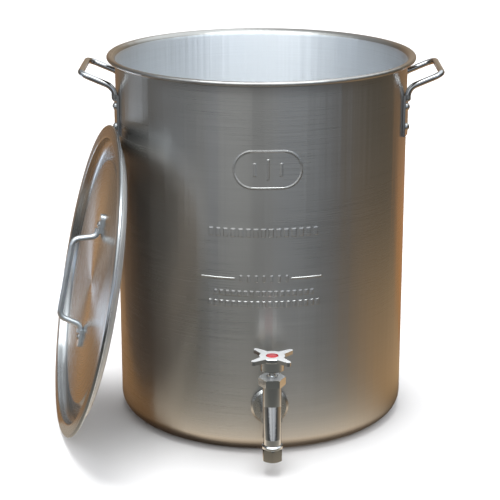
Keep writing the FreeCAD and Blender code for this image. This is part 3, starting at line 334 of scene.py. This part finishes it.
finish = {
    "pot_steel": brushed_steel("pot_steel_look", STEEL, 0.30, 0.85, False, 0.0006, 0.7),
    # inside of the pot: the outer steel painted much lighter and bluer, painted light falling in
    "pot_inside": brushed_steel("pot_inside_painted_light_look", (0.88, 0.905, 0.93), 0.54, 0.85, False, 0.0010),
    "lid_steel": brushed_steel("lid_steel_look", (0.49, 0.50, 0.505), 0.26, 0.90, True),
    # underside: a lighter, warmer, duller copy of the lid steel, painted light on the side that faces away
    # from the light
    "lid_under": brushed_steel("lid_under_painted_light_look", (0.56, 0.555, 0.545), 0.34, 0.60, True, metallic=0.72),
    # hem: a light bluish copy of the steel on faces that look down, a painted sky reflection
    "lid_hem": polished_metal("lid_hem_painted_sky_look", (0.80, 0.84, 0.88), 0.22, metallic=0.82),
    "handle_chrome": polished_metal("handle_chrome_look", (0.52, 0.53, 0.545), 0.06),
    "rivet_steel": polished_metal("rivet_steel_look", (0.60, 0.60, 0.59), 0.13),
    "tap_chrome": polished_metal("tap_chrome_look", CHROME, 0.06),
    "plain_steel": polished_metal("plain_steel_look", (0.58, 0.57, 0.55), 0.26, 0.08),
    # lid handle rod: steel painted whitish and bluish, a painted sky reflection
    "lid_rod_steel": polished_metal("lid_rod_painted_sky_look", (0.86, 0.90, 0.93), 0.30, 0.08),
    "seal_rubber": moulded("seal_rubber_look", (0.03, 0.03, 0.032), 0.62, 1500.0, 0.00004, 0.35),
    "white_seal": moulded("white_seal_look", (0.82, 0.81, 0.78), 0.45, 1200.0, 0.00003, 0.4, 0.93),
    "fibre": moulded("fibre_look", (0.32, 0.12, 0.07), 0.70, 900.0, 0.00008, 0.3),
    "red_plastic": moulded("red_plastic_look", (0.62, 0.03, 0.04), 0.24, 700.0, 0.00001, 0.5, 0.9, 0.4),
}

for node in frame["nodes"].values():
    for slot in node.material_slots:
        key = slot.material.name.split(".")[0]
        if key in finish:
            slot.material = finish[key]

# pieces of the tap given lighter or darker copies of the chrome: painted shade on the outlet nut, painted
# light on the cross handle and the bonnet with their satin tops, and a darker, rougher copy on the wall
# flange
TAP_LIT_AND_SHADED_LOOKS = {
    "outlet_nut": polished_metal("outlet_nut_shaded_look", (0.32, 0.31, 0.29), 0.14),
    "wall_flange": polished_metal("wall_flange_look", (0.46, 0.46, 0.45), 0.26),
    "cross_handle": polished_metal("cross_handle_lit_look", (0.76, 0.78, 0.79), 0.08, satin=0.85),
    "bonnet": polished_metal("bonnet_lit_look", (0.70, 0.72, 0.73), 0.06, satin=0.60),
}
for name, look in TAP_LIT_AND_SHADED_LOOKS.items():
    frame["nodes"][name].material_slots[0].material = look


def dress(piece, slot, body, *nodes):
    """Give a finished piece its material, slot and body, and let it stand for its CAD nodes."""
    piece.data.materials.clear()
    piece.data.materials.append(finish[slot])
    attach(piece, body)
    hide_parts(*nodes)
    return piece


# ------------------------------------------------------------------ pot

MARK_TURN = math.radians(1.2)
BADGE_TURN = math.radians(2.6)
BADGE_HEIGHT = 0.3186
BADGE_HALF_WIDTH = 0.0365
BADGE_HALF_TALL = 0.0205
BADGE_LINE = 0.0016
BADGE_BARS = [(-0.014, 0.014), (0.0, 0.022), (0.014, 0.014)]  # offset and length of each bar
# height, first and last angle in degrees, number of marks, width and height of one
MARK_ROWS = [
    (0.2505, -20.0, 19.6, 15, 0.0046, 0.0086),
    (0.1998, -8.6, 8.6, 7, 0.0024, 0.0070),
    (0.1836, -18.4, 18.4, 17, 0.0036, 0.0054),
    (0.1714, -20.6, 20.6, 19, 0.0036, 0.0064),
]
# height, angle in degrees, width and height of each line
LEVEL_LINES = [(0.1998, -17.6, 0.038, 0.0016), (0.1998, 16.2, 0.034, 0.0016)]
MARK_SLOPE = 0.0005
RELIEF_SHARE = 0.96
BADGE_MARGIN = 0.003
BADGE_SIDE_MARGIN = 0.004
MARK_MARGIN = 0.002

FINE_ANGLE = math.radians(24.5)
FINE_STEP = math.radians(0.2)
COARSE_STEPS = 170
MARKS_LOW, MARKS_HIGH = 0.163, 0.345
MARKS_STEP = 0.0006


def box_distance(x, y, half_x, half_y):
    """Distance outside an upright rectangle, negative inside."""
    dx, dy = abs(x) - half_x, abs(y) - half_y
    outside = math.hypot(max(dx, 0.0), max(dy, 0.0))
    return outside + min(max(dx, dy), 0.0)


def badge_distance(along, height):
    """Distance from the badge's round-ended outline and its bars."""
    x, y = along, height - BADGE_HEIGHT
    straight = BADGE_HALF_WIDTH - BADGE_HALF_TALL
    ends = math.hypot(max(abs(x) - straight, 0.0), y)
    edge = abs(ends - (BADGE_HALF_TALL - BADGE_LINE / 2)) - BADGE_LINE / 2
    for offset, length in BADGE_BARS:
        edge = min(edge, box_distance(x - offset, y, BADGE_LINE * 0.75, length / 2))
    return edge


def mark_list():
    """Centre angle, height, half width and half height of every plain mark."""
    marks = []
    for height, first, last, number, width, tall in MARK_ROWS:
        for index in range(number):
            turn = math.radians(first + (last - first) * index / (number - 1)) + MARK_TURN
            marks.append((turn, height, width / 2, tall / 2))
    for height, turn, width, tall in LEVEL_LINES:
        marks.append((math.radians(turn) + MARK_TURN, height, width / 2, tall / 2))
    return marks


MARKS = mark_list()


def relief(angle, height):
    """How far the wall stands out at a place, for the raised marks."""
    turn = (angle + math.pi) % (2 * math.pi) - math.pi
    nearest = 1.0
    if abs(height - BADGE_HEIGHT) < BADGE_HALF_TALL + BADGE_MARGIN:
        if abs(turn - BADGE_TURN) * WALL < BADGE_HALF_WIDTH + BADGE_SIDE_MARGIN:
            nearest = badge_distance((turn - BADGE_TURN) * WALL, height)
    for mark_turn, mark_height, half_wide, half_tall in MARKS:
        if abs(height - mark_height) > half_tall + MARK_MARGIN:
            continue
        along = (turn - mark_turn) * WALL
        if abs(along) > half_wide + MARK_MARGIN:
            continue
        nearest = min(nearest, box_distance(along, height - mark_height, half_wide, half_tall))
    share = min(max(0.5 - nearest / MARK_SLOPE, 0.0), 1.0)
    return RELIEF * RELIEF_SHARE * share * share * (3 - 2 * share)


def pot_angles():
    """Angles from the front: fine over the raised marks and coarse elsewhere."""
    number = round(2 * FINE_ANGLE / FINE_STEP)
    angles = [-FINE_ANGLE + FINE_STEP * index for index in range(number + 1)]
    room = 2 * math.pi - 2 * FINE_ANGLE
    angles += [FINE_ANGLE + room * index / COARSE_STEPS for index in range(1, COARSE_STEPS)]
    return angles


def pot_profile():
    """Closed profile of the pot, from the middle of the base outside round to the middle inside.

    The two numbers after it are the first and the last point of the finely divided part.
    """
    bead_r, bead_z = RIM - BEAD, HEIGHT - BEAD
    flare = bead_r - WALL + SHEET
    flare_z = HEIGHT - flare
    outer = [(0.0, 0.0), (0.05, 0.0), (0.10, 0.0)]
    outer += arc(WALL - CORNER, CORNER, CORNER, -90, 0, 14)
    outer += [(WALL, z) for z in (0.03, 0.05, 0.075, 0.1, 0.125, 0.15, 0.16)]
    number = round((MARKS_HIGH - MARKS_LOW) / MARKS_STEP)
    fine_from = len(outer)
    outer += [(WALL, MARKS_LOW + (MARKS_HIGH - MARKS_LOW) * index / number) for index in range(number + 1)]
    fine_to = len(outer)
    outer += [(WALL, z) for z in (0.36, 0.38, 0.395)]
    outer += arc(WALL + flare - SHEET, flare_z, flare - SHEET, 180, 90, 10)[:-1]
    outer.append((bead_r - BEAD, bead_z))
    bead = arc(bead_r, bead_z, BEAD, -180, 90, 24)[1:]
    inner = arc(bead_r, flare_z, flare, 90, 180, 14)[1:]
    inner += [(WALL - SHEET, z) for z in (0.38, 0.33, 0.28, 0.23, 0.18, 0.13, 0.08, 0.04)]
    inner += arc(WALL - CORNER, CORNER - SHEET + FLOOR_SHEET, CORNER - SHEET, 0, -90, 14)
    inner += [(0.10, FLOOR_SHEET), (0.05, FLOOR_SHEET), (0.0, FLOOR_SHEET)]
    return outer + bead + inner, fine_from, fine_to


def make_pot():
    """The pot's sheet, with its raised marks; its inside has a look of its own, a much lighter, bluish copy
    of the outer steel: painted light.
    """
    profile, first, last = pot_profile()

    def stand_out(angle, number, radius, height):
        """Relief of the finely divided part of the profile, and none elsewhere."""
        return relief(angle, height) if first <= number < last else 0.0

    verts, faces = turn_profile(profile, pot_angles(), stand_out)
    pot = mesh_piece("pot_wall", verts, faces)
    dress(pot, "pot_steel", "kettle", "pot_shell")
    pot.data.materials.append(finish["pot_inside"])
    for face in pot.data.polygons:
        middle = face.center
        within = math.hypot(middle.x, middle.y) < WALL - SHEET * 0.3
        looks_in = face.normal.xy.dot(middle.xy) < 1e-4
        if within and looks_in and middle.z > FLOOR_SHEET * 0.9:
            face.material_index = 1


make_pot()


# ------------------------------------------------------------------ lid

def lid_matrix():
    """The leaning lid's own frame: x across, y up its face, z out of its top."""
    facing = Vector(next(j for j in frame["joints"] if j["name"] == "lid_lift")["axis"]).normalized()
    across = Vector((-math.sin(LID_TURN), math.cos(LID_TURN), 0.0))
    up = facing.cross(across)
    lean = math.asin(facing.z)
    edge = LID_RADIUS - LID_BEAD
    rise = LID_EDGE_GAP + LID_BEAD + LID_BEAD * math.sin(lean) + edge * math.cos(lean)
    place = Matrix((across, up, facing)).transposed().to_4x4()
    place.translation = Vector((LID_CENTRE.x, LID_CENTRE.y, rise))
    return place


LID = lid_matrix()
SOFT_EDGE = 0.0012
LID_SIDES = 288
LOOKS_DOWN = -0.2


def lid_profile():
    """Closed profile of the lid, from the middle of the top round to the middle underneath."""
    bead_r = LID_RADIUS - LID_BEAD
    soft = SOFT_EDGE
    top = [(0.0, -PANEL_DROP), (0.045, -PANEL_DROP), (0.09, -PANEL_DROP), (PANEL - soft, -PANEL_DROP),
           (PANEL - soft * 0.3, -PANEL_DROP - soft * 0.08), (PANEL + soft * 0.4, -PANEL_DROP - soft * 0.6),
           (PANEL + PANEL_STEP - soft * 0.5, LID_SHEET - PLUG_DEPTH + soft * 0.5),
           (PANEL + PANEL_STEP + soft * 0.5, LID_SHEET - PLUG_DEPTH + soft * 0.05)]
    top += arc(PLUG - PLUG_CORNER, PLUG_CORNER - PLUG_DEPTH, PLUG_CORNER - LID_SHEET, -90, 0, 10)
    top += arc(PLUG - LID_SHEET + soft, -soft, soft, 180, 90, 5)
    bead = arc(bead_r, -LID_BEAD, LID_BEAD, 90, -180, 20)
    under = [(bead_r - LID_BEAD, -LID_SHEET), (PLUG, -LID_SHEET)]
    under += arc(PLUG - PLUG_CORNER, PLUG_CORNER - PLUG_DEPTH, PLUG_CORNER, 0, -90, 10)
    under += [(PANEL + PANEL_STEP, -PLUG_DEPTH), (PANEL, -PANEL_DROP - LID_SHEET),
              (0.09, -PANEL_DROP - LID_SHEET), (0.0, -PANEL_DROP - LID_SHEET)]
    return top + bead + under


def make_lid():
    """The lid's sheet in its own frame; its underside and its hem have looks of their own: lighter copies
    of the lid steel, painted light, with a bluish hem as a painted sky reflection.
    """
    verts, faces = turn_profile(lid_profile(), even_angles(LID_SIDES))
    lid = mesh_piece("lid_pressing", verts, faces, LID, 50.0)
    dress(lid, "lid_steel", "lid", "lid_shell")
    lid.data.materials.append(finish["lid_under"])
    lid.data.materials.append(finish["lid_hem"])
    for face in lid.data.polygons:
        reach = math.hypot(face.center.x, face.center.y)
        # faces that look down take the painted-light looks of the underside and the hem
        if face.normal.z < LOOKS_DOWN:
            face.material_index = 2 if reach > PLUG else 1


make_lid()


# ------------------------------------------------------------------ floor, light and surroundings

FLOOR_REACH = 40.0
FLOOR_DROP = 0.0003
NEAR_FLOOR_DROP = 0.0001
FLOOR_DARK, FLOOR_LIGHT = (0.86, 0.86, 0.86), (0.88, 0.88, 0.88)


def make_floor():
    """Pale studio floor, which the metal doesn't reflect."""
    material, nodes, shader = new_material("floor_look")
    place = nodes.add("TexCoord").outputs["Object"]
    cloud = nodes.add("TexNoise", {"Vector": place, "Scale": 3.0, "Detail": 2.0}).outputs["Fac"]
    nodes.feed(shader.inputs["Base Color"], nodes.ramp(cloud, [(0.3, FLOOR_DARK), (0.7, FLOOR_LIGHT)]))
    shader.inputs["Roughness"].default_value = 0.9
    shader.inputs["Specular IOR Level"].default_value = 0.1
    verts, faces = turn_profile([(0.0, 0.0), (2.0, 0.0), (FLOOR_REACH, 0.0)], even_angles(48))
    floor = mesh_piece("floor", [(x, y, -FLOOR_DROP) for x, y, z in verts], faces)
    floor.data.materials.append(material)
    floor.visible_glossy = False


def lin(*parts):
    """Linear colour from display values of 11 and more, where full white is 255."""
    return tuple((((part / 255) + 0.055) / 1.055) ** 2.4 for part in parts)


def thrown(*parts):
    """Light that brushed steel turns into this display value."""
    return tuple(value / share for value, share in zip(lin(*parts), STEEL))


GLOW_REACH = 1.7
GLOW_FADE = 0.4
# painted reflection of the floor: the dark first stop on each side is painted contact shade at the wall's
# foot, and the tones behind the left are painted shadow with a painted bright patch from 0.52 to 0.82 that
# lights the lid's middle
# for each side: distance from the wall and the display value that the wall shows there
GLOW = {
    "front": [(0.0, (70, 58, 46)), (0.006, (150, 132, 110)), (0.02, (208, 190, 166)),
              (0.05, (180, 168, 150)), (0.09, (126, 120, 108)), (0.14, (100, 97, 89)),
              (0.24, (76, 75, 70)), (0.45, (56, 56, 54)), (0.9, (46, 47, 47)), (1.5, (44, 45, 47))],
    "right": [(0.0, (42, 33, 25)), (0.02, (86, 70, 52)), (0.05, (150, 120, 84)), (0.14, (146, 118, 86)),
              (0.40, (130, 108, 80)), (0.70, (92, 82, 68)), (1.10, (60, 56, 50)), (1.5, (50, 48, 44))],
    "left": [(0.0, (70, 58, 46)), (0.006, (140, 122, 100)), (0.02, (196, 178, 156)),
             (0.05, (172, 156, 136)), (0.09, (136, 122, 106)), (0.15, (122, 110, 96)),
             (0.34, (112, 102, 90)), (0.70, (100, 92, 82)), (1.10, (66, 66, 64)), (1.5, (52, 52, 52))],
    # painted shadow behind the left of the kettle, holding a painted bright patch for the lid's middle
    "shade": [(0.0, (38, 29, 22)), (0.04, (92, 68, 48)), (0.2, (92, 68, 46)), (0.44, (104, 86, 68)),
              (0.52, (262, 276, 290)), (0.82, (268, 282, 296)), (0.97, (104, 92, 80)), (1.5, (80, 70, 60))],
    "back": [(0.0, (42, 32, 24)), (0.04, (112, 84, 56)), (0.3, (132, 102, 72)), (0.8, (136, 108, 80)),
             (1.3, (134, 108, 80)), (1.5, (128, 102, 76))],
    "rear_right": [(0.0, (42, 32, 24)), (0.04, (120, 84, 50)), (0.3, (146, 102, 60)), (0.8, (146, 104, 66)),
                   (1.3, (136, 104, 78)), (1.5, (130, 100, 76))],
}
# the back tones lie where ahead is under BACK_BEND / distance - BACK_LIMIT, both in the function below
BACK_BEND, BACK_LIMIT = 0.320, 0.983


def make_painted_floor_reflection():
    """Glowing disc that only the metal sees: a painted reflection of the floor round the kettle, with
    painted shade at the wall's foot and painted shadow behind the left.

    Each side of the kettle has its own tones, which change with the distance from the wall.
    """
    material = bpy.data.materials.new("painted_floor_reflection_look")
    material.use_nodes = True
    tree = material.node_tree
    tree.nodes.clear()
    nodes = Nodes(tree)
    place = nodes.add("TexCoord").outputs["Object"]
    split = nodes.add("SeparateXYZ", {0: place})
    x, y = split.outputs[0], split.outputs[1]
    distance = nodes.maths("SQRT", nodes.maths("ADD", nodes.maths("MULTIPLY", x, x),
                                               nodes.maths("MULTIPLY", y, y)))
    away = nodes.maths("DIVIDE", nodes.maths("SUBTRACT", distance, WALL), GLOW_REACH - WALL)
    tones = {}
    for side, stops in GLOW.items():
        tones[side] = nodes.ramp(away, [(d / (GLOW_REACH - WALL), thrown(*c)) for d, c in stops])
    ahead = nodes.maths("DIVIDE", nodes.maths("MULTIPLY", y, -1.0), distance)
    beside = nodes.maths("DIVIDE", x, distance)
    sides = nodes.mix(nodes.span(beside, -0.3, 0.3), tones["left"], tones["right"])
    tone = nodes.mix(nodes.span(ahead, 0.05, 0.85), sides, tones["front"])
    # painted shadow: behind the left of the kettle the floor takes the shadow tones
    turned = nodes.maths("ADD", ahead, nodes.span(distance, 0.2, 0.8, -0.45, 0.0))
    painted_shadow_share = nodes.maths("MULTIPLY", nodes.span(turned, -0.15, -0.30), nodes.span(beside, 0.0, -0.2))
    tone = nodes.mix(painted_shadow_share, tone, tones["shade"])
    past = nodes.maths("SUBTRACT", nodes.maths("ADD", ahead, BACK_LIMIT),
                       nodes.maths("DIVIDE", BACK_BEND, distance))
    rear = nodes.maths("MULTIPLY", nodes.span(past, 0.03, -0.03), nodes.span(beside, 0.05, -0.05))
    tone = nodes.mix(rear, tone, tones["back"])
    corner = nodes.maths("MULTIPLY", nodes.span(ahead, -0.50, -0.72), nodes.span(beside, -0.05, 0.05))
    tone = nodes.mix(corner, tone, tones["rear_right"])
    glow = nodes.add("Emission", {"Color": tone, "Strength": 1.0})
    clear = nodes.add("BsdfTransparent")
    share = nodes.span(distance, GLOW_REACH - GLOW_FADE, GLOW_REACH - 0.02, 1.0, 0.0)
    join = nodes.add("MixShader", {0: share, 1: clear.outputs[0], 2: glow.outputs[0]})
    output = nodes.add("OutputMaterial")
    tree.links.new(join.outputs[0], output.inputs["Surface"])
    verts, faces = turn_profile([(0.0, 0.0), (0.5, 0.0), (GLOW_REACH, 0.0)], even_angles(64))
    disc = mesh_piece("near_floor", [(a, b, -NEAR_FLOOR_DROP) for a, b, c in verts], faces)
    disc.data.materials.append(material)
    disc.visible_camera = False
    disc.visible_diffuse = False
    disc.visible_shadow = False
    disc.visible_transmission = False


WHITE = (1.0, 1.0, 1.0)
GROUND = (0.09, 0.055, 0.032)
FILL = (1.10, 1.10, 1.12)
SKY, SKY_LEFT = (1.45, 1.54, 1.60), (0.45, 0.46, 0.47)
WINDOW_LOW, WINDOW_HIGH = (0.0, 4.0), (15.0, 11.0)


def make_world():
    """Surroundings: white to the camera, plain fill for matt surfaces, and a painted room for the metal.

    The room is bright overhead, has duller walls round about with a window band ahead, and warm ground
    below. Azimuth 0 is the front, and positive to the right; elevation is in degrees.
    """
    world = bpy.data.worlds.new("studio")
    bpy.context.scene.world = world
    world.use_nodes = True
    tree = world.node_tree
    tree.nodes.clear()
    nodes = Nodes(tree)
    split = nodes.add("SeparateXYZ", {0: nodes.add("TexCoord").outputs["Generated"]})
    x, y, z = split.outputs
    turn = nodes.maths("ARCTAN2", x, nodes.maths("MULTIPLY", y, -1.0))
    place = nodes.maths("ADD", nodes.maths("MULTIPLY", turn, 0.5 / math.pi), 0.5)
    rise = nodes.maths("MULTIPLY", nodes.maths("ARCSINE", z), 180 / math.pi)

    def at(azimuth):
        """Place of an azimuth in degrees on the ramps."""
        return azimuth / 360 + 0.5

    low = nodes.ramp(place, [
        (at(-180), (0.36, 0.20, 0.10)), (at(-160), (0.30, 0.17, 0.09)), (at(-148), (0.26, 0.19, 0.13)),
        (at(-130), (0.22, 0.20, 0.18)), (at(-105), (0.20, 0.20, 0.19)), (at(-80), (0.14, 0.13, 0.12)),
        (at(-50), (0.17, 0.17, 0.17)), (at(-30), (0.22, 0.22, 0.22)), (at(30), (0.22, 0.23, 0.23)),
        (at(60), (0.15, 0.15, 0.14)), (at(90), (0.12, 0.11, 0.09)), (at(125), (0.16, 0.12, 0.08)),
        (at(150), (0.36, 0.22, 0.12)), (at(180), (0.36, 0.20, 0.10))])
    mid = nodes.ramp(place, [
        (at(-180), (0.45, 0.36, 0.27)), (at(-160), (0.30, 0.20, 0.13)), (at(-145), (0.18, 0.15, 0.12)),
        (at(-125), (0.17, 0.16, 0.15)), (at(-105), (0.17, 0.17, 0.17)), (at(-92), (0.12, 0.12, 0.12)),
        (at(-84), (0.70, 0.85, 1.05)), (at(-60), (0.75, 0.88, 1.05)), (at(-44), (0.95, 1.00, 1.05)),
        (at(-37), (0.35, 0.52, 0.90)), (at(-31), (1.00, 1.05, 1.10)), (at(-20), (0.90, 0.98, 1.05)),
        (at(-13), (0.95, 1.01, 1.06)), (at(-6), (0.60, 0.64, 0.68)), (at(1), (0.52, 0.57, 0.64)),
        (at(9), (0.80, 0.85, 0.90)), (at(16), (0.52, 0.68, 0.98)), (at(30), (0.56, 0.70, 0.94)),
        (at(62), (0.42, 0.54, 0.74)), (at(70), (0.10, 0.10, 0.10)), (at(105), (0.10, 0.10, 0.09)),
        (at(140), (0.24, 0.19, 0.13)), (at(165), (0.45, 0.36, 0.27)), (at(180), (0.45, 0.36, 0.27))])
    plain = nodes.ramp(place, [(at(azimuth), (level, level * 1.01, level * 1.02)) for azimuth, level in (
        (-90, 0.14), (-84, 0.22), (-60, 0.26), (-44, 0.44), (-31, 0.68), (-20, 0.72), (-13, 0.84),
        (-6, 0.52), (1, 0.46), (9, 0.68), (16, 0.62), (30, 0.58), (45, 0.36), (62, 0.22), (90, 0.14))])
    window = nodes.maths("MULTIPLY", nodes.span(rise, *WINDOW_LOW), nodes.span(rise, *WINDOW_HIGH))
    ahead = nodes.span(nodes.maths("ABSOLUTE", turn), 1.60, 1.48)
    mid = nodes.mix(nodes.maths("MULTIPLY", ahead, nodes.maths("SUBTRACT", 1.0, window)), mid, plain)
    top = nodes.mix(nodes.span(turn, -1.55, -1.75), colour4(SKY), colour4(SKY_LEFT))
    tone = nodes.mix(nodes.span(rise, -78.0, -45.0), colour4(GROUND), low)
    tone = nodes.mix(nodes.span(rise, -9.0, -4.0), tone, mid)
    tone = nodes.mix(nodes.span(rise, 18.0, 46.0), tone, top)
    path = nodes.add("LightPath")
    fill = nodes.mix(path.outputs["Is Diffuse Ray"], tone, colour4(FILL))
    seen = nodes.mix(path.outputs["Is Camera Ray"], fill, colour4(WHITE))
    background = nodes.add("Background", {"Color": seen, "Strength": 1.0})
    output = nodes.add("OutputWorld")
    tree.links.new(background.outputs[0], output.inputs["Surface"])


SUN_WAY = (0.03, -0.045, -1.0)
SUN_ENERGY = 1.8
SUN_ANGLE = math.radians(20.0)
OVERHEAD_PLACE, OVERHEAD_TARGET = (0.0, -0.80, 1.75), (0.0, 0.05, 0.30)
OVERHEAD_SIZE = (2.3, 0.7)
OVERHEAD_ENERGY = 22.0
OVERHEAD_COLOUR = (0.92, 0.97, 1.0)
CAMERA_PLACE = (0.0, -1.8100, 0.7331)
CAMERA_DOWN = 0.2953
CAMERA_ROLL = 0.0069
CAMERA_LENS = 117.9
CAMERA_SENSOR = 36.0


def make_lamp(name, place, target, size, energy, colour):
    """Rectangular lamp that only the metal mirrors."""
    light = bpy.data.lights.new(name, "AREA")
    light.shape = "RECTANGLE"
    light.size, light.size_y = size
    light.energy = energy
    light.color = colour
    lamp = bpy.data.objects.new(name, light)
    bpy.context.scene.collection.objects.link(lamp)
    lamp.location = place
    lamp.rotation_euler = (Vector(target) - Vector(place)).to_track_quat("-Z", "Y").to_euler()
    lamp.visible_diffuse = False


def make_sun():
    """Light from almost straight above, a little behind and to the left: it draws the floor shadows."""
    light = bpy.data.lights.new("sun", "SUN")
    light.energy = SUN_ENERGY
    light.angle = SUN_ANGLE
    lamp = bpy.data.objects.new("sun", light)
    bpy.context.scene.collection.objects.link(lamp)
    lamp.rotation_euler = Vector(SUN_WAY).to_track_quat("-Z", "Y").to_euler()
    lamp.visible_glossy = False


def make_camera():
    """Camera in front of the kettle, looking down on it."""
    data = bpy.data.cameras.new("camera")
    data.sensor_width = CAMERA_SENSOR
    data.lens = CAMERA_LENS
    data.clip_start = 0.05
    data.clip_end = 100.0
    camera = bpy.data.objects.new("camera", data)
    bpy.context.scene.collection.objects.link(camera)
    camera.location = CAMERA_PLACE
    camera.rotation_euler = (math.pi / 2 - CAMERA_DOWN, 0.0, CAMERA_ROLL)
    bpy.context.scene.camera = camera


make_floor()
make_painted_floor_reflection()
make_world()
make_sun()
make_lamp("overhead", OVERHEAD_PLACE, OVERHEAD_TARGET, OVERHEAD_SIZE, OVERHEAD_ENERGY, OVERHEAD_COLOUR)
make_camera()
bpy.context.scene.view_settings.view_transform = "Standard"
